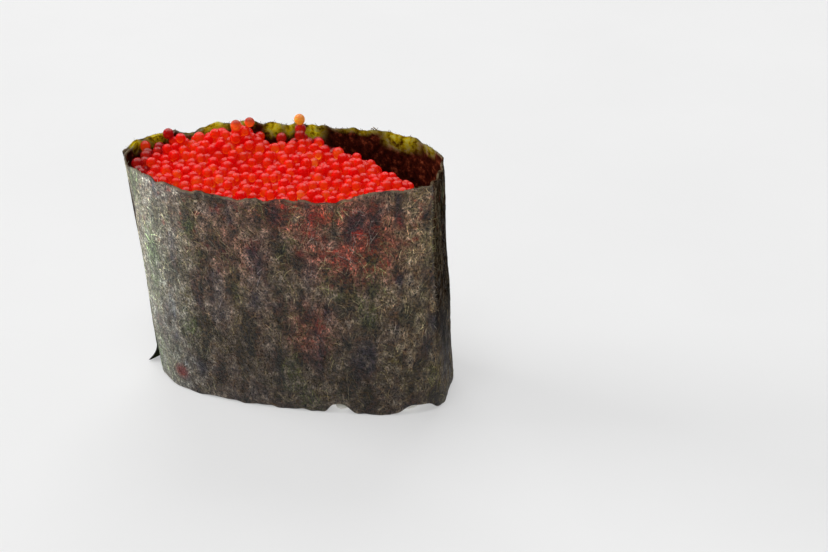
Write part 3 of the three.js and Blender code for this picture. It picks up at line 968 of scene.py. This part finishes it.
def fibre_material():
    m = Material("nori_fibre")
    body = m.place()
    tone = m.ramp(m.stored("tone"), [
        (0.0, (0.072, 0.060, 0.043)), (0.45, (0.182, 0.160, 0.112)),
        (0.8, (0.37, 0.325, 0.24)), (1.0, (0.74, 0.67, 0.54))])
    hue = m.ramp(patch_noise(m, body), [
        (0.38, (0.76, 0.71, 0.82)), (0.45, (1.05, 0.77, 0.58)), (0.50, (1, 0.95, 0.75)),
        (0.55, (1.1, 0.89, 0.60)), (0.64, (0.88, 0.98, 0.56))])
    colour = m.tint(tone, hue)
    colour = m.mix(matted(m, body), m.tint(colour, (0.58, 0.58, 0.60)), colour)
    colour = speckled(m, body, painted_light_and_spot(m, body, colour))
    return m.finish(m.surface({
        "Base Color": colour, "Roughness": 0.6, "Specular IOR Level": 0.25,
        "Normal": m.bumps(m.noise(body, 0.0003, 2), 0.00003)}))


def crescent(m, way):
    """1 on the crescent low on an egg's front where light from behind comes out again."""
    below = m.mask(m.toward(way, CRESCENT["low"]), *CRESCENT["edge"])
    above = m.mask(m.toward(way, CRESCENT["high"]), *CRESCENT["edge"])
    return m.times(below, m.maths("SUBTRACT", 1, above))


def egg_material(name, middle, top, lit):
    """A translucent egg. Part of its colour is light that reaches it through the other eggs."""
    m = Material(name)
    place = m.place()
    way, glow = m.stored("way", "Vector"), m.stored("glow")
    # Painted light and shade: each egg's top has its own colour, darker on the tawny eggs and
    # lighter on the shaded ones.
    colour = m.mix(m.mask(m.toward(way, (0, 0, 1)), 0.1, 0.8), middle, top)
    colour = m.mix(m.times(m.noise(place, 0.0009, 2), 0.4), colour, middle)
    lower = m.times(m.mask(m.toward(way, CRESCENT["low"]), 0.3, 1.0), 0.3)
    bright = m.times(glow, m.maths("MAXIMUM", lower, crescent(m, way)))
    colour = m.mix(bright, colour, lit)
    rough = m.greys(m.noise(place, 0.0004, 2), [(0.3, 0.20), (0.7, 0.30)])
    return m.finish(m.surface({
        "Base Color": m.tint(colour, EGG_BASE), "Roughness": rough, "IOR": 1.4,
        "Subsurface Weight": 1.0, "Subsurface Radius": (1, 0.06, 0.04), "Subsurface Scale": 0.006,
        "Emission Color": colour,
        "Emission Strength": m.maths("ADD", m.times(bright, BRIGHT_GLOW), EGG_GLOW),
        "Normal": m.bumps(m.noise(place, 0.0005, 2), 0.00002)}))


def core_material():
    m = Material("roe_core")
    place = m.place()
    colour = m.ramp(m.noise(place, 0.0015, 3), [
        (0.3, (0.75, 0.008, 0.005)), (0.7, (0.92, 0.02, 0.01))])
    return m.finish(m.surface({
        "Base Color": colour, "Roughness": 0.4,
        "Normal": m.bumps(m.noise(place, 0.001, 2), 0.0002)}))


def rice_material():
    m = Material("rice")
    place = m.place()
    colour = m.ramp(m.noise(place, 0.002, 3), [
        (0.3, (0.72, 0.70, 0.63)), (0.7, (0.88, 0.87, 0.82))])
    return m.finish(m.surface({
        "Base Color": colour, "Roughness": 0.35, "Subsurface Weight": 0.3,
        "Subsurface Radius": (1, 0.8, 0.6), "Subsurface Scale": 0.001,
        "Normal": m.bumps(m.noise(place, 0.0008, 3), 0.00006)}))


# ---- Cores ----

def filling_ring(height, inset):
    """A ring of points at a height, inside the outline that the filling may reach."""
    angles = even_angles(0, TURN, CORE_SIDES)[:CORE_SIDES]
    heights = np.full(CORE_SIDES, float(height))
    out = filling_out(angles) - inset
    return wall_points(angles, heights) + wall_normals(angles, heights) * out[:, None]


def ringed_piece(name, rings, bottom, top):
    """A closed piece through rings of points, from its bottom ring to its top."""
    points = np.concatenate([*rings, [bottom], [top]])
    return make_piece(name, points, ring_faces(len(rings), len(rings[0])))


def make_roe_core():
    """The heap's hidden inside, which follows the heap's top."""
    middle = np.array([float(wall_middle(HEAP_LEVEL)), 0.0, 0.0])
    edge = filling_ring(HEAP_LEVEL - CORE_EDGE["depth"], CORE_EDGE["inset"])
    rings = [filling_ring(RICE_TOP + GAP, 0)]
    for share in CORE_SHARES:
        ring = lerp(edge, middle, share)
        ring[:, 2] = heap_heights(ring[:, 0], ring[:, 1]) - EGG_LAYER + CORE_RISE
        rings.append(ring)
    bottom = (wall_middle(RICE_TOP), 0, RICE_TOP + GAP)
    top = (middle[0], 0, float(heap_heights(middle[0], 0)) - EGG_LAYER + CORE_RISE)
    return ringed_piece("roe_core", rings, bottom, top)


def make_rice_core():
    """The rice's hidden inside."""
    rings = [filling_ring(*ring) for ring in RICE_CORE]
    bottom = (FOOT["x"], 0, RICE_CORE[0][0])
    return ringed_piece("rice_core", rings, bottom, (wall_middle(RICE_TOP), 0, RICE_TOP))


def grain_shape():
    """A cooked grain's points and faces, lying along X, at length and width 1."""
    along = -np.cos(np.linspace(0, math.pi, GRAIN_RINGS + 2)[1:-1]) / 2
    reach = (1 - np.abs(2 * along) ** 2.6) ** 0.5 / 2
    around = np.arange(GRAIN_SIDES) * TURN / GRAIN_SIDES
    points = [(x, r * math.cos(a), r * math.sin(a)) for x, r in zip(along, reach) for a in around]
    points += [(-0.5, 0, 0), (0.5, 0, 0)]
    return np.array(points), ring_faces(GRAIN_RINGS, GRAIN_SIDES)


def grain_places(random):
    """Where grains lie: all over the foot, and above it only along the edge."""
    places = []
    for layer, height in enumerate(GRAIN["layers"]):
        for x in np.arange(*GRAIN["x_range"], GRAIN["along"]):
            for y in np.arange(*GRAIN["y_range"], GRAIN["across"]):
                edge = room_at(x, y, height)
                if layer == 0 or edge < GRAIN["edge"]:
                    jitter = random.uniform(-GRAIN["jitter"], GRAIN["jitter"], 2)
                    places.append((x + jitter[0], y + jitter[1], height))
    return places


def placed_grain(random, shape, place):
    """The points of one slightly bowed grain at a place, turned and tilted at random."""
    turn, tilt = random.uniform(0, math.pi), random.normal(0, GRAIN["tilt"])
    size = np.array([GRAIN["length"], GRAIN["width"], GRAIN["width"] * GRAIN["flatness"]])
    size = size * random.uniform(*GRAIN["sizes"])
    local = shape * size
    local[:, 1] += GRAIN["bow"] * size[0] * (2 * shape[:, 0]) ** 2
    local[:, 2] += math.tan(tilt) * local[:, 0]
    x, y, z = place
    return np.stack([x + local[:, 0] * math.cos(turn) - local[:, 1] * math.sin(turn),
                     y + local[:, 0] * math.sin(turn) + local[:, 1] * math.cos(turn),
                     z + local[:, 2]], axis=-1)


def make_grains():
    """Grains under the block and round its lower edge, pressed flat where they rest."""
    random = np.random.default_rng(GRAIN_SEED)
    shape, faces = grain_shape()
    grains = []
    for place in grain_places(random):
        grain = placed_grain(random, shape, place)
        if room_at(*grain.T).min() >= -GRAIN["most_outside"]:
            grain[:, 2] = np.maximum(grain[:, 2], GRAIN["flat"])
            grains.append(grain)
    return make_piece("rice_grains", np.concatenate(grains),
                      repeated(faces, len(grains), len(shape)))


# ---- Stage, lights and camera ----

def make_stage():
    bpy.ops.mesh.primitive_circle_add(vertices=96, radius=FLOOR["radius"], fill_type="NGON")
    floor = bpy.context.object
    floor.name = "floor"
    m = Material("floor")
    colour = m.greys(m.noise(m.place(), 0.05, 3), FLOOR["greys"])
    surface = m.surface({
        "Base Color": colour, "Roughness": 0.9, "Specular IOR Level": 0.0,
        "Emission Color": (1, 1, 1), "Emission Strength": FLOOR["glow"]})
    floor.data.materials.append(m.finish(surface))


def aim(thing, place, target):
    """Sets a lamp or camera at a place, aimed at a target, both in millimetres."""
    place, target = Vector(place), Vector(target)
    scene.collection.objects.link(thing)
    thing.location = place * MM
    thing.rotation_euler = (target - place).to_track_quat("-Z", "Y").to_euler()


def add_light(name, place, size, power):
    """A wide soft lamp aimed at the piece."""
    light = bpy.data.lights.new(name, "AREA")
    light.shape = "RECTANGLE"
    light.size, light.size_y = size[0] * MM, size[1] * MM
    light.energy = power
    lamp = bpy.data.objects.new(name, light)
    aim(lamp, place, LAMP_TARGET)
    return lamp


def make_surround():
    """A white surround, brighter on the left, that shines on things but isn't mirrored in them."""
    world = bpy.data.worlds.new("studio")
    scene.world = world
    world.use_nodes = True
    world.cycles_visibility.glossy = False
    tree = world.node_tree
    toward = tree.nodes.new("ShaderNodeVectorMath")
    toward.operation = "DOT_PRODUCT"
    tree.links.new(tree.nodes.new("ShaderNodeTexCoord").outputs["Generated"], toward.inputs[0])
    toward.inputs[1].default_value = (-1, 0, 0)
    strength = tree.nodes.new("ShaderNodeMapRange")
    tree.links.new(toward.outputs["Value"], strength.inputs["Value"])
    for key, value in zip(("From Min", "From Max", "To Min", "To Max"), (-1, 1, *SURROUND)):
        strength.inputs[key].default_value = value
    background = tree.nodes["Background"]
    background.inputs["Color"].default_value = (1, 1, 1, 1)
    tree.links.new(strength.outputs["Result"], background.inputs["Strength"])


def make_lamps():
    for lamp in LAMPS:
        add_light(*lamp).visible_glossy = False
    window = add_light(*WINDOW)
    window.data.color = WINDOW_COLOUR
    window.visible_diffuse = False
    scene.cycles.diffuse_bounces = DIFFUSE_BOUNCES
    scene.cycles.max_bounces = MOST_BOUNCES


def make_camera():
    data = bpy.data.cameras.new("camera")
    data.lens = CAMERA["lens"]
    data.sensor_width = CAMERA["sensor"]
    data.clip_start = 0.01
    camera = bpy.data.objects.new("camera", data)
    aim(camera, CAMERA["place"], CAMERA["target"])
    scene.camera = camera


# ---- The piece ----

def in_shade(eggs):
    """Which eggs lie where the band keeps the light off them."""
    x, y, z = eggs[:, :3].T
    beside_back = (room_at(x, y, z) < SHADE["reach"]) & (y > 0) & (x > SHADE["from_x"])
    in_dip = np.hypot(x - SHADE["dip"][0], y - SHADE["dip"][1]) < SHADE["dip_radius"]
    return beside_back | in_dip | (x < SHADE["left_x"])


def make_eggs():
    random = np.random.default_rng(EGG_SEED + 1)
    eggs = fill_heap()
    shares = [share for share, *_ in EGG_KINDS.values()]
    kinds = random.choice(list(EGG_KINDS), len(eggs), p=shares)
    kinds[in_shade(eggs)] = "roe_shaded"
    kinds[-len(PERCHED):] = [kind for *_, kind in PERCHED]
    for name, (_, middle, top, lit) in EGG_KINDS.items():
        piece = egg_piece(name, eggs[kinds == name], random)
        set_in(piece, "roe_heap", egg_material(name, middle, top, lit))


make_stage()
make_surround()
make_lamps()
make_camera()
scene.view_settings.view_transform = "Standard"
set_in(make_band(), "nori_wrap", nori_material())
fibre = fibre_material()
for make_fibres in (make_strands, make_rim_hairs, make_crease_hairs):
    set_in(make_fibres(), "nori_wrap", fibre)
set_in(make_roe_core(), "roe_heap", core_material())
rice = rice_material()
set_in(make_rice_core(), "rice_block", rice)
set_in(make_grains(), "rice_block", rice)
make_eggs()
